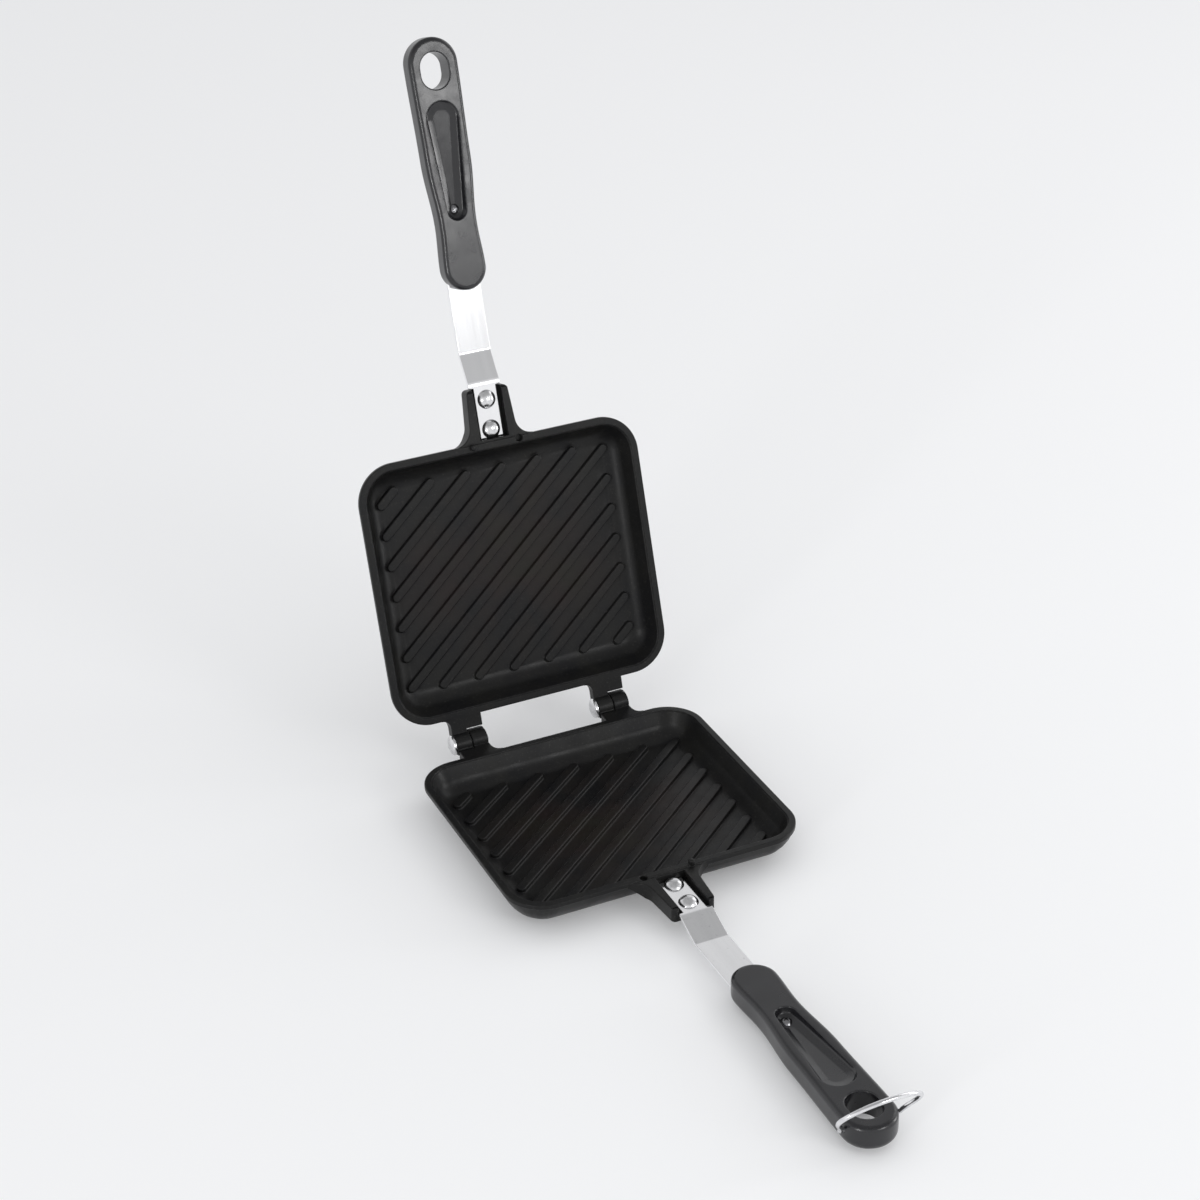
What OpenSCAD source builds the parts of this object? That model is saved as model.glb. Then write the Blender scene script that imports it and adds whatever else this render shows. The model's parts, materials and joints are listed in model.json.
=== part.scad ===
// Hinged square sandwich iron: two equal dished castings on two hinges,
// each with a riveted strap and a moulded handle, and a wire loop that locks the handles.
//
// Frame: the origin is the centre of the lower pan's flat base, +Z is up and the
// lower handle points along -Y. The iron stands open, with the upper half on its stop.
// Each half is drawn in the casting's own frame: the rims meet at z = 0, the
// dish goes down along -Z and the handle points along -Y.

/* [Pan] */
// Outer width of the rim, across the hinge side
pan_w = 145; // [130:1:170]
// Outer length of the rim, from hinge side to handle side
pan_l = 129; // [115:1:150]
// Height of one half, from its base to the plane where the rims meet
pan_h = 17; // [16:0.5:24]
// Corner radius of the rim, seen from above
corner_r = 19; // [18:0.5:28]
// Width of the flat lip on the rim
lip_w = 3.2; // [2.6:0.1:4.4]
// Height of the rim's outer band
rim_h = 2.6; // [2.2:0.1:3.4]
// Thickness of the floor
floor_t = 3.5; // [3:0.1:5]
// Distance from the rim's edge to the flat base
base_inset = 12.5; // [11:0.5:13.5]
// Distance from the rim's edge to the flat floor inside
floor_inset = 14; // [13:0.5:15.5]
// Radius where the wall runs into the floor
floor_fillet = 5; // [3:0.5:6]
// Chamfer along the rim's edges
rim_chamfer = 0.5; // [0.2:0.1:0.8]

/* [Ribs] */
// Ribs on each side of the middle rib
rib_pairs = 6; // [4:1:6]
// Distance between neighbouring ribs, across them
rib_pitch = 11.75; // [9:0.25:12]
// Angle between the ribs and the hinge side
rib_angle = 39; // [30:1:50]
// Width of a rib
rib_w = 4.6; // [3:0.1:6]
// Height of a rib above the floor
rib_h = 2; // [1:0.1:3]
// Distance from the rim's edge to the rib ends, at the sides
rib_end_x = 11; // [10:0.5:20]
// Distance from the rim's edge to the rib ends, at hinge and handle
rib_end_y = 12.5; // [12:0.5:20]

/* [Hinge] */
// Distance between the middles of the two hinges
hinge_spacing = 75.4; // [60:0.2:84]
// Distance from the rim's edge to the hinge axis
hinge_reach = 12.5; // [11.5:0.1:15]
// Width of a hinge tab, which carries half as wide a knuckle
tab_w = 16.2; // [14:0.2:20]
// Thickness of a hinge tab
tab_t = 5; // [4:0.1:6]
// Radius of the fillet between tab and rim
tab_fillet = 4; // [2:0.5:5]
// Radius of a knuckle
knuckle_r = 5; // [4:0.1:5.5]
// Height of the heel that stops the upper half
heel_h = 3.3; // [2:0.1:4]
// Diameter of a hinge pin
pin_d = 4; // [3:0.1:5]
// Diameter of a pin's domed head
pin_head_d = 9.8; // [7:0.1:10]
// Height of a pin's domed head
pin_head_h = 2.4; // [1.6:0.1:3]
// Diameter of a pin's peened end
pin_peen_d = 6.2; // [5.6:0.1:8]
// Height of a pin's peened end
pin_peen_h = 1.2; // [0.8:0.1:2]
// Angle to which the upper half opens
open_angle = 107.5; // [95:0.5:115]

/* [Bracket] */
// Length of the bracket beyond the rim
bracket_l = 25.5; // [24:0.5:27]
// Width of the bracket at its free end
bracket_end_w = 21; // [20.4:0.2:24]
// Width of the bracket where its fillets start
bracket_root_w = 24.8; // [22:0.2:28]
// Radius of the fillets between bracket and rim
bracket_fillet = 8; // [5:0.5:10]
// Depth of the bracket's underside below the rims' meeting plane
bracket_depth = 8.5; // [8:0.1:10]
// Depth of the cheeks' top edge where they leave the rim
cheek_top_root = 0.7; // [0.3:0.1:1.5]
// Depth of the cheeks' top edge at the free end
cheek_top_end = 3.4; // [2:0.1:4]
// Corner radius at the bracket's free end
bracket_corner = 2; // [1:0.5:3]

/* [Strap and rivets] */
// Width of the strap
strap_w = 15.2; // [13:0.1:15.6]
// Thickness of the strap
strap_t = 1.6; // [1.2:0.1:2]
// Depth of the strap's inner face in the bracket
strap_depth = 3.9; // [3.6:0.1:4.2]
// How much deeper the strap runs in the handle
strap_drop = 5.5; // [4.5:0.1:6]
// Distance from the rim's edge to the strap's first bend
bend_start = 27.7; // [27.5:0.1:32]
// Distance from the rim's edge to the strap's second bend
bend_end = 42; // [38:0.5:50]
// Length of the tang inside the handle
tang_l = 43; // [42:0.5:50]
// Width of the tang behind the strap's shoulders
tang_w = 10; // [8:0.5:12]
// How far the strap's shoulders reach into the handle
shoulder_l = 5; // [4:0.5:8]
// Distance from the rim's edge to the front rivet
front_rivet = 5.2; // [5:0.1:8]
// Distance from the rim's edge to the rear rivet
rear_rivet = 19.7; // [17:0.1:20]
// Diameter of a rivet's shank
rivet_d = 4; // [3:0.1:5]
// Diameter of a rivet's domed head
rivet_head_d = 7.4; // [6:0.1:7.6]
// Height of the domed head over the strap
rivet_dome_h = 2.8; // [1.6:0.1:3]
// Height of the head closed under the bracket
rivet_back_h = 1.6; // [1:0.1:2.4]

/* [Handle] */
// Distance from the rim's edge to the handle's nose
handle_start = 72.5; // [66:0.5:85]
// Length of the handle
handle_l = 118.5; // [112:0.5:130]
// Thickness of the handle
handle_t = 12; // [11:0.5:13]
// Depth of the handle's inner face below the rims' meeting plane
handle_depth = 2.5; // [2:0.1:3]
// Width of the handle's nose
nose_w = 18.6; // [17:0.2:20]
// Width of the handle's waist
waist_w = 16; // [15.6:0.2:18]
// Distance from the nose to the waist
waist_at = 32; // [28:1:36]
// Width of the handle's far end
butt_w = 22; // [21:0.2:25]
// Chamfer along the edges of the inner face
handle_bevel = 1.2; // [0.6:0.1:2]
// Radius along the edges of the outer face
handle_round = 4; // [2:0.5:5]
// Width of the thumb hollow over the screw
hollow_narrow_w = 9.4; // [8:0.2:10]
// Width of the thumb hollow at its round end
hollow_wide_w = 16; // [12:0.2:16.4]
// Distance from the screw to the middle of the hollow's round end
hollow_l = 43; // [36:1:44]
// Depth of the thumb hollow over the screw
hollow_deep = 5.4; // [4.5:0.1:5.8]
// Depth of the thumb hollow at its round end
hollow_shallow = 1.8; // [1:0.1:3]
// Distance from the nose to the screw
screw_at = 38; // [37.5:0.5:40]
// Diameter of the screw's shank
screw_d = 3.5; // [3:0.1:4]
// Diameter of the screw's head
screw_head_d = 6.8; // [5.5:0.1:7.2]
// Height of the screw's head
screw_head_h = 2.2; // [1.5:0.1:2.6]
// Length of the screw's shank
screw_l = 5; // [4.5:0.1:6]
// Width of the hang hole
hang_w = 14; // [10:0.2:14.4]
// Length of the hang hole
hang_l = 17.2; // [15:0.2:18]
// Distance from the handle's far tip to the middle of the hang hole
hang_from_tip = 15.5; // [14.5:0.1:17]

/* [Lock loop] */
// Diameter of the wire
wire_d = 2.1; // [1.6:0.1:2.6]
// Depth of the loop's pivots below the rims' meeting plane
loop_depth = 7.7; // [7.2:0.1:8.2]
// Depth of the blind holes that hold the wire's ends
loop_hole_depth = 3.2; // [2.6:0.1:3.2]
// Distance from the pivots to the middle of the wire's bar
loop_l = 25; // [24:0.5:30]
// Width of the loop between its wire's middle lines
loop_w = 36.8; // [32:0.2:42]
// Distance from the pivots to the widest place
loop_widest = 14; // [11:0.5:16]
// Angle of the loop above the table
loop_angle = 57; // [40:1:90]

/* [Locating boss] */
// Diameter of the boss on the rim
boss_d = 3; // [2.4:0.1:3.2]
// Height of the boss
boss_h = 2.2; // [1.4:0.1:2.4]
// Distance from the middle of the pan to the boss, and to its dimple
boss_x = 12; // [11:0.5:14]
// Distance from the rim's edge to the boss
boss_in = 1.1; // [0.9:0.1:1.5]

/* [Fits] */
// Gap between the closed rims
rim_gap = 0.2; // [0.1:0.05:0.4]
// Gap between a knuckle and the tab end that it turns against
knuckle_gap = 0.4; // [0.3:0.05:0.6]
// Gap between the sides of neighbouring knuckles, and under a pin's head
side_gap = 0.5; // [0.3:0.05:0.8]
// Radial clearance of a pin in the knuckle that turns
pin_clearance = 0.05; // [0.02:0.01:0.1]
// Clearance around strap, rivets, screw and tang
fit_gap = 0.1; // [0.05:0.05:0.2]
// Radial clearance of the wire in its holes
wire_clearance = 0.08; // [0.03:0.01:0.1]
// Clearance of the boss in its dimple
boss_gap = 0.3; // [0.3:0.05:0.5]
// Gap between a pin's head and the knuckle that turns under it
head_gap = 0.15; // [0.1:0.05:0.3]
// Gap that is left in front of the heels' stop faces
stop_gap = 0.05; // [0.02:0.01:0.1]
// Gap between the strap's end and the channel's end wall
strap_end_gap = 0.3; // [0.1:0.1:1]

/* [Hidden] */
$fn = 64;

// Distance from the rim's edge to the end wall of the strap's channel
channel_wall = 1;
// How far the bracket runs in under the rim
bracket_inboard = 8;
// Bending radius of the strap, at its middle
bend_r = 5;
// Chamfer at the boss's tip
boss_tip = 0.5;
// How much thinner the loop's swept bow is than its round legs
wire_skin = 0.01;
// Lets a cutting solid run past the face that it opens
past = 1;

rim_y = pan_l / 2;
hinge_y = rim_y + hinge_reach;
rim_top = -rim_gap / 2;
floor_z = floor_t - pan_h;
tab_end = knuckle_r + knuckle_gap;
strap_back = strap_depth + strap_t;
tang_face = strap_depth + strap_drop;
handle_y = rim_y + handle_start;
screw_y = handle_y + screw_at;
hollow_floor = handle_depth + hollow_deep;
loop_pivot_y = handle_y + handle_l - butt_w / 2;
hang_y = handle_y + handle_l - hang_from_tip;

// Points of an arc about centre c, from angle a to angle b in steps equal parts
function arc(c, r, a, b, steps) =
    [for (i = [0 : steps]) let (t = a + (b - a) * i / steps) c + r * [cos(t), sin(t)]];

// Smooth step from 0 to 1
function ease(t) = (1 - cos(180 * min(max(t, 0), 1))) / 2;

// ---- Frames of the two halves ----

module in_lower_half() {
    translate([0, 0, pan_h]) children();
}

module in_upper_half() {
    translate([0, hinge_y, pan_h]) rotate([-open_angle, 0, 0])
        translate([0, -hinge_y, 0]) rotate([0, 180, 0]) children();
}

// ---- Casting ----

// A dish with round corners. The child is the section of one wall, with x from
// the corner's centre out to the rim, and y up.
module dish() {
    straight_x = pan_w - 2 * corner_r;
    straight_y = pan_l - 2 * corner_r;
    for (q = [0 : 3]) {
        sx = (q == 0 || q == 3) ? 1 : -1;
        sy = (q < 2) ? 1 : -1;
        translate([sx * straight_x / 2, sy * straight_y / 2, 0])
            rotate([0, 0, 90 * q]) rotate_extrude(angle = 90) children();
    }
    for (side = [0, 180]) {
        rotate([0, 0, side]) translate([straight_x / 2, straight_y / 2, 0])
            rotate([90, 0, 0]) linear_extrude(straight_y) children();
        rotate([0, 0, side + 90]) translate([straight_y / 2, straight_x / 2, 0])
            rotate([90, 0, 0]) linear_extrude(straight_x) children();
    }
}

// Section of the outside, from the base up the sloping wall to the rim's band
module outer_section() {
    base_edge = 2.4;
    wall_step = 0.3;
    polygon([
        [0, -pan_h],
        [corner_r - base_inset, -pan_h],
        [corner_r - base_inset + base_edge, -pan_h + 0.75 * base_edge],
        [corner_r - rim_chamfer - wall_step, -rim_h - wall_step],
        [corner_r - rim_chamfer, -rim_h],
        [corner_r, -rim_h + rim_chamfer],
        [corner_r, rim_top - rim_chamfer],
        [corner_r - rim_chamfer, rim_top],
        [0, rim_top]
    ]);
}

// Section of the hollow, from the flat floor up the sloping wall to the lip
module inner_section() {
    wall_turn = 55;
    fillet_centre = [corner_r - floor_inset, floor_z + floor_fillet];
    polygon(concat(
        [[0, floor_z]],
        arc(fillet_centre, floor_fillet, -90, -90 + wall_turn, 6),
        [[corner_r - lip_w - rim_chamfer, rim_top - rim_chamfer],
         [corner_r - lip_w, rim_top],
         [corner_r - lip_w, past],
         [0, past]]
    ));
}

module middle_block(z_low, z_high) {
    translate([-pan_w / 2 + corner_r, -pan_l / 2 + corner_r, z_low])
        cube([pan_w - 2 * corner_r, pan_l - 2 * corner_r, z_high - z_low]);
}

module outer_dish() {
    dish() outer_section();
    middle_block(-pan_h, rim_top);
}

module hollow() {
    dish() inner_section();
    middle_block(floor_z, past);
}

// Ends of a rib's middle line, measured along it from the foot of its offset
function rib_span(offset) =
    let (reach_x = pan_w / 2 - rib_end_x - rib_w / 2,
         reach_y = pan_l / 2 - rib_end_y - rib_w / 2,
         foot_x = -offset * sin(rib_angle), foot_y = offset * cos(rib_angle))
    [max((-reach_x - foot_x) / cos(rib_angle), (-reach_y - foot_y) / sin(rib_angle)),
     min((reach_x - foot_x) / cos(rib_angle), (reach_y - foot_y) / sin(rib_angle))];

module rib_outline(offset) {
    span = rib_span(offset);
    length = span[1] - span[0];
    if (length > 0) rotate(rib_angle) translate([span[0], offset]) {
        circle(d = rib_w);
        translate([0, -rib_w / 2]) square([length, rib_w]);
        translate([length, 0]) circle(d = rib_w);
    }
}

module ribs() {
    root = 0.5;
    for (k = [-rib_pairs : rib_pairs])
        translate([0, 0, floor_z - root]) linear_extrude(rib_h + root)
            rib_outline(k * rib_pitch);
}

// Extrudes an outline drawn in (y, z) along x, from x_low
module along_x(x_low, width) {
    translate([x_low, 0, 0]) rotate([90, 0, 90]) linear_extrude(width) children();
}

// Extrudes an outline drawn in (distance beyond the rim's handle side, z) across
// the whole width, centred on x = 0
module across_handle(width) {
    translate([0, -rim_y, 0]) mirror([0, 1, 0]) along_x(-width / 2, width) children();
}

// A tab that reaches from the rim to the hinge, with the knuckle on its +x half
module hinge_tab(x) {
    inboard = 6;
    side = x + tab_w / 2;
    knuckle_low = x + side_gap / 2;
    knuckle_w = side - knuckle_low;
    translate([x - tab_w / 2, rim_y - inboard, -tab_t])
        cube([tab_w, inboard + hinge_reach - tab_end, tab_t + rim_top]);
    translate([0, 0, -tab_t]) linear_extrude(tab_t + rim_top)
        polygon(concat(
            [[side - past, rim_y - past], [side - past, rim_y + tab_fillet]],
            arc([side + tab_fillet, rim_y + tab_fillet], tab_fillet, 180, 270, 8),
            [[side + tab_fillet, rim_y - past]]
        ));
    along_x(knuckle_low, knuckle_w)
        translate([hinge_y - tab_end - past, -tab_t]) square([tab_end + past, tab_t + rim_top]);
    translate([knuckle_low, hinge_y, 0]) rotate([0, 90, 0]) cylinder(r = knuckle_r, h = knuckle_w);
    along_x(knuckle_low, knuckle_w)
        translate([hinge_y, 0]) rotate(90 - open_angle) square([heel_h, tab_end - stop_gap]);
}

module hinge_bores(clearance) {
    for (x = [-1, 1] * hinge_spacing / 2)
        translate([x, hinge_y, 0]) rotate([0, 90, 0])
            cylinder(d = pin_d + 2 * clearance, h = tab_w + 2 * past);
}

// Bracket outline seen from above, on the +x side: x and distance beyond the rim
function bracket_side() = concat(
    [[bracket_root_w / 2 + bracket_fillet, -bracket_inboard]],
    arc([bracket_root_w / 2 + bracket_fillet, bracket_fillet], bracket_fillet, 270, 180, 10),
    arc([bracket_end_w / 2 - bracket_corner, bracket_l - bracket_corner], bracket_corner, 0, 90, 5)
);

module bracket() {
    end_edge = 1.2;
    span = bracket_root_w + 2 * bracket_fillet + 2 * past;
    right = bracket_side();
    left = [for (i = [len(right) - 1 : -1 : 0]) [-right[i][0], right[i][1]]];
    intersection() {
        translate([0, -rim_y, -bracket_depth - past]) mirror([0, 1, 0])
            linear_extrude(bracket_depth + 2 * past) polygon(concat(right, left));
        across_handle(span) polygon([
            [-bracket_inboard - past, -bracket_depth],
            [-bracket_inboard - past, -cheek_top_root],
            [channel_wall, -cheek_top_root],
            [bracket_l - end_edge, -cheek_top_end],
            [bracket_l + past, -cheek_top_end - end_edge - past],
            [bracket_l + past, -bracket_depth]
        ]);
    }
}

// The channel that takes the strap, and the holes for its rivets
module bracket_cuts() {
    channel_w = strap_w + 2 * fit_gap;
    translate([-channel_w / 2, -rim_y - bracket_l - past, -strap_back])
        cube([channel_w, bracket_l + past - channel_wall, strap_back + past]);
    for (d = [front_rivet, rear_rivet])
        translate([0, -rim_y - d, -bracket_depth - past])
            cylinder(d = rivet_d + 2 * fit_gap, h = bracket_depth + past);
}

module casting(bore_clearance) {
    difference() {
        union() {
            outer_dish();
            for (x = [-1, 1] * hinge_spacing / 2) hinge_tab(x);
            bracket();
        }
        hollow();
        bracket_cuts();
        hinge_bores(bore_clearance);
        translate([-boss_x, -rim_y + boss_in, -boss_h - 2 * boss_gap])
            cylinder(d = boss_d + 2 * boss_gap, h = boss_h + 2 * boss_gap + past);
    }
    ribs();
    translate([boss_x, -rim_y + boss_in, rim_top - past]) {
        cylinder(d = boss_d, h = past + boss_h - boss_tip);
        translate([0, 0, past + boss_h - boss_tip])
            cylinder(d1 = boss_d, d2 = boss_d - 2 * boss_tip, h = boss_tip);
    }
}

module lower_pan() {
    color([0.20, 0.20, 0.21]) in_lower_half() casting(0);
}

module upper_pan() {
    color([0.20, 0.20, 0.21]) in_upper_half() casting(pin_clearance);
}

// ---- Hinge pins ----

// A domed cap on the plane z = 0
module dome(d, h) {
    ball_r = (d * d / 4 + h * h) / (2 * h);
    rotate_extrude() intersection() {
        translate([0, h - ball_r]) circle(ball_r);
        square([d / 2, h]);
    }
}

// One pin, head to the left, in the frame of the lower half. Its hinge is at x.
module hinge_pin(x) {
    grip = tab_w + head_gap;
    color([0.75, 0.75, 0.76]) translate([x + tab_w / 2, hinge_y, 0]) rotate([0, -90, 0]) {
        cylinder(d = pin_d, h = grip);
        translate([0, 0, grip]) dome(pin_head_d, pin_head_h);
        mirror([0, 0, 1]) dome(pin_peen_d, pin_peen_h);
    }
}

module left_hinge_pin() {
    in_lower_half() hinge_pin(-hinge_spacing / 2);
}

module right_hinge_pin() {
    in_lower_half() hinge_pin(hinge_spacing / 2);
}

// ---- Strap and rivets ----

// Side view of the bent strap: distance beyond the rim, and z
module strap_section() {
    slope = atan(strap_drop / (bend_end - bend_start));
    bend_x = bend_r * tan(slope / 2);
    first = [bend_start - bend_x, -strap_depth - strap_t / 2 - bend_r];
    second = [bend_end + bend_x, -tang_face - strap_t / 2 + bend_r];
    tip = handle_start + tang_l;
    wide = bend_r + strap_t / 2;
    tight = bend_r - strap_t / 2;
    polygon(concat(
        [[channel_wall + strap_end_gap, -strap_depth]],
        arc(first, wide, 90, 90 - slope, 6),
        arc(second, tight, 270 - slope, 270, 6),
        [[tip, -tang_face], [tip, -tang_face - strap_t]],
        arc(second, wide, 270, 270 - slope, 6),
        arc(first, tight, 90 - slope, 90, 6),
        [[channel_wall + strap_end_gap, -strap_back]]
    ));
}

module strap() {
    color([0.78, 0.78, 0.79]) difference() {
        across_handle(strap_w) strap_section();
        for (side = [0, 1])
            mirror([side, 0, 0])
                translate([tang_w / 2, -handle_y - tang_l - past, -tang_face - strap_t - past])
                    cube([strap_w, tang_l + past - shoulder_l, strap_t + 2 * past]);
        for (d = [front_rivet, rear_rivet])
            translate([0, -rim_y - d, -strap_back - past])
                cylinder(d = rivet_d + 2 * fit_gap, h = strap_t + 2 * past);
        translate([0, -screw_y, -tang_face - strap_t - past])
            cylinder(d = screw_d + 2 * fit_gap, h = strap_t + 2 * past);
    }
}

module lower_strap() {
    in_lower_half() strap();
}

module upper_strap() {
    in_upper_half() strap();
}

// One rivet, at a distance beyond the rim
module rivet(d) {
    color([0.80, 0.80, 0.81]) translate([0, -rim_y - d, 0]) {
        translate([0, 0, -bracket_depth]) cylinder(d = rivet_d, h = bracket_depth - strap_depth);
        translate([0, 0, -strap_depth]) dome(rivet_head_d, rivet_dome_h);
        translate([0, 0, -bracket_depth]) mirror([0, 0, 1]) dome(rivet_head_d, rivet_back_h);
    }
}

module lower_front_rivet() {
    in_lower_half() rivet(front_rivet);
}

module lower_rear_rivet() {
    in_lower_half() rivet(rear_rivet);
}

module upper_front_rivet() {
    in_upper_half() rivet(front_rivet);
}

module upper_rear_rivet() {
    in_upper_half() rivet(rear_rivet);
}

// ---- Handles ----

// Half the handle's width between its round ends, at a distance from the nose
function handle_half_w(h) =
    let (nose_r = nose_w / 2, waist = waist_w / 2, butt_r = butt_w / 2)
    h < waist_at
        ? nose_r + (waist - nose_r) * ease((h - nose_r) / (waist_at - nose_r))
        : waist + (butt_r - waist) * ease((h - waist_at) / (handle_l - butt_r - waist_at));

// One side of the handle seen from above: x and distance from the nose
function handle_side() =
    let (nose_r = nose_w / 2, butt_r = butt_w / 2, arc_steps = 6, side_steps = 16,
         side_l = handle_l - nose_r - butt_r)
    concat(
        arc([0, nose_r], nose_r, -90, 0, arc_steps),
        [for (i = [1 : side_steps - 1])
            let (h = nose_r + side_l * i / side_steps) [handle_half_w(h), h]],
        arc([0, handle_l - butt_r], butt_r, 0, 90, arc_steps)
    );

// The closed outline, the +x side first
function handle_outline() =
    let (right = handle_side())
    concat(right, [for (i = [len(right) - 2 : -1 : 1]) [-right[i][0], right[i][1]]]);

// Moves each point of a closed outline inwards
function inset_outline(outline, inset) =
    [for (i = [0 : len(outline) - 1])
        let (n = len(outline), next = outline[(i + 1) % n], last = outline[(i + n - 1) % n],
             along = (next - last) / norm(next - last))
        outline[i] + inset * [-along[1], along[0]]];

// Depth and inset of each ring of the handle's skin, from the inner face outwards
function handle_levels() =
    let (steps = 5, back = handle_depth + handle_t)
    concat(
        [[handle_depth, handle_bevel], [handle_depth + handle_bevel, 0]],
        [for (i = [0 : steps])
            let (a = 90 * i / steps)
            [back - handle_round * (1 - sin(a)), handle_round * (1 - cos(a))]]
    );

module handle_body() {
    outline = handle_outline();
    levels = handle_levels();
    n = len(outline);
    m = len(levels);
    points = [for (level = levels)
        for (p = inset_outline(outline, level[1])) [p[0], -handle_y - p[1], -level[0]]];
    walls = [for (j = [0 : m - 2]) for (i = [0 : n - 1])
        let (k = (i + 1) % n) [j * n + i, j * n + k, (j + 1) * n + k, (j + 1) * n + i]];
    inner_face = [[for (i = [n - 1 : -1 : 0]) i]];
    outer_face = [[for (i = [0 : n - 1]) (m - 1) * n + i]];
    polyhedron(points = points, faces = concat(walls, inner_face, outer_face), convexity = 4);
}

// A hollow over the screw that widens and rises towards the hang hole
module thumb_hollow() {
    hull() {
        translate([0, -screw_y, -hollow_floor])
            cylinder(d = hollow_narrow_w, h = hollow_floor, $fn = 32);
        translate([0, -screw_y - hollow_l, -handle_depth - hollow_shallow])
            cylinder(d = hollow_wide_w, h = handle_depth + hollow_shallow, $fn = 32);
    }
}

module hang_hole() {
    straight = hang_l - hang_w;
    translate([0, -hang_y, -handle_depth - handle_t - past]) linear_extrude(handle_t + 2 * past) {
        translate([0, straight / 2]) circle(d = hang_w);
        translate([0, -straight / 2]) circle(d = hang_w);
        square([hang_w, straight], center = true);
    }
}

// The pocket in the handle's nose that takes the strap's shoulders and its tang
module tang_slot() {
    for (pocket = [[strap_w, shoulder_l], [tang_w, tang_l]])
        translate([-pocket[0] / 2 - fit_gap, -handle_y - pocket[1] - fit_gap,
                   -tang_face - strap_t - fit_gap])
            cube([pocket[0] + 2 * fit_gap, pocket[1] + fit_gap + past, strap_t + 2 * fit_gap]);
}

module handle() {
    color([0.13, 0.13, 0.14]) difference() {
        handle_body();
        tang_slot();
        thumb_hollow();
        translate([0, -screw_y, -hollow_floor - screw_l - fit_gap])
            cylinder(d = screw_d + 2 * fit_gap, h = screw_l + fit_gap + past);
        hang_hole();
        children();
    }
}

// The blind holes in both sides of the handle that hold the lock loop
module loop_holes() {
    reach = butt_w / 2 - loop_hole_depth;
    for (side = [0, 180])
        translate([0, -loop_pivot_y, -loop_depth]) rotate([0, 0, side]) translate([reach, 0, 0])
            rotate([0, 90, 0]) cylinder(d = wire_d + 2 * wire_clearance, h = loop_hole_depth + past);
}

module lower_handle() {
    in_lower_half() handle() loop_holes();
}

module upper_handle() {
    in_upper_half() handle();
}

// A pan-head screw with a crossed recess, through the handle's floor and the tang
module handle_screw() {
    cross_l = 3.6;
    cross_w = 0.9;
    cross_depth = 1.2;
    color([0.80, 0.80, 0.81]) translate([0, -screw_y, -hollow_floor]) {
        translate([0, 0, -screw_l]) cylinder(d = screw_d, h = screw_l);
        difference() {
            dome(screw_head_d, screw_head_h);
            for (turn = [0, 90])
                rotate([0, 0, turn])
                    translate([-cross_l / 2, -cross_w / 2, screw_head_h - cross_depth])
                        cube([cross_l, cross_w, cross_depth + past]);
        }
    }
}

module lower_handle_screw() {
    in_lower_half() handle_screw();
}

module upper_handle_screw() {
    in_upper_half() handle_screw();
}

// ---- Lock loop ----

function bezier(a, b, c, d, t) =
    pow(1 - t, 3) * a + 3 * t * pow(1 - t, 2) * b + 3 * t * t * (1 - t) * c + pow(t, 3) * d;

// Middle line of the wire on the +x side, from the handle's flank to the bar's middle:
// x and distance from the pivots. An elbow, an arm that spreads and a quarter ellipse.
function loop_half() =
    let (flank = butt_w / 2, elbow_r = 1.8, handle_l1 = 4, handle_l2 = 5,
         arm = [flank + elbow_r, elbow_r], wide = [loop_w / 2, loop_widest])
    concat(
        arc([flank, elbow_r], elbow_r, -90, 0, 5),
        [for (i = [1 : 7])
            bezier(arm, arm + [0, handle_l1], wide - [0, handle_l2], wide, i / 8)],
        [for (i = [0 : 10])
            [wide[0] * cos(9 * i), loop_widest + (loop_l - loop_widest) * sin(9 * i)]]
    );

// Ring of the wire's skin about each point of its middle line
module wire(path, r) {
    sides = 12;
    n = len(path);
    points = [for (i = [0 : n - 1])
        let (next = path[min(i + 1, n - 1)], last = path[max(i - 1, 0)],
             on_end = i == 0 || i == n - 1,
             along = on_end ? [sign(path[0][0]), 0] : (next - last) / norm(next - last),
             tangent = (i == n - 1) ? [sign(path[n - 1][0]), 0] * -1 : along,
             out = [-tangent[1], tangent[0]])
        for (k = [0 : sides - 1])
            let (a = 360 * k / sides)
            [path[i][0] + r * cos(a) * out[0], -path[i][1] - r * cos(a) * out[1], r * sin(a)]];
    walls = [for (i = [0 : n - 2]) for (k = [0 : sides - 1])
        let (l = (k + 1) % sides)
        [i * sides + k, i * sides + l, (i + 1) * sides + l, (i + 1) * sides + k]];
    first_end = [[for (k = [sides - 1 : -1 : 0]) k]];
    last_end = [[for (k = [0 : sides - 1]) (n - 1) * sides + k]];
    polyhedron(points = points, faces = concat(walls, first_end, last_end), convexity = 4);
}

module lock_loop() {
    end_gap = 0.2;
    leg_start = butt_w / 2 - loop_hole_depth + end_gap;
    leg_l = loop_hole_depth - end_gap;
    half = loop_half();
    path = concat(half, [for (i = [len(half) - 2 : -1 : 0]) [-half[i][0], half[i][1]]]);
    color([0.82, 0.82, 0.83]) in_lower_half() translate([0, -loop_pivot_y, -loop_depth])
        rotate([-loop_angle, 0, 0]) {
            wire(path, wire_d / 2 - wire_skin);
            for (side = [0, 180])
                rotate([0, 0, side]) translate([leg_start, 0, 0])
                    rotate([0, 90, 0]) cylinder(d = wire_d, h = leg_l);
        }
}

lower_pan();
upper_pan();
left_hinge_pin();
right_hinge_pin();
lower_strap();
upper_strap();
lower_front_rivet();
lower_rear_rivet();
upper_front_rivet();
upper_rear_rivet();
lower_handle();
upper_handle();
lower_handle_screw();
upper_handle_screw();
lock_loop();
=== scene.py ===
import json
import math

import bmesh
import bpy
from mathutils import Matrix, Vector


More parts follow.
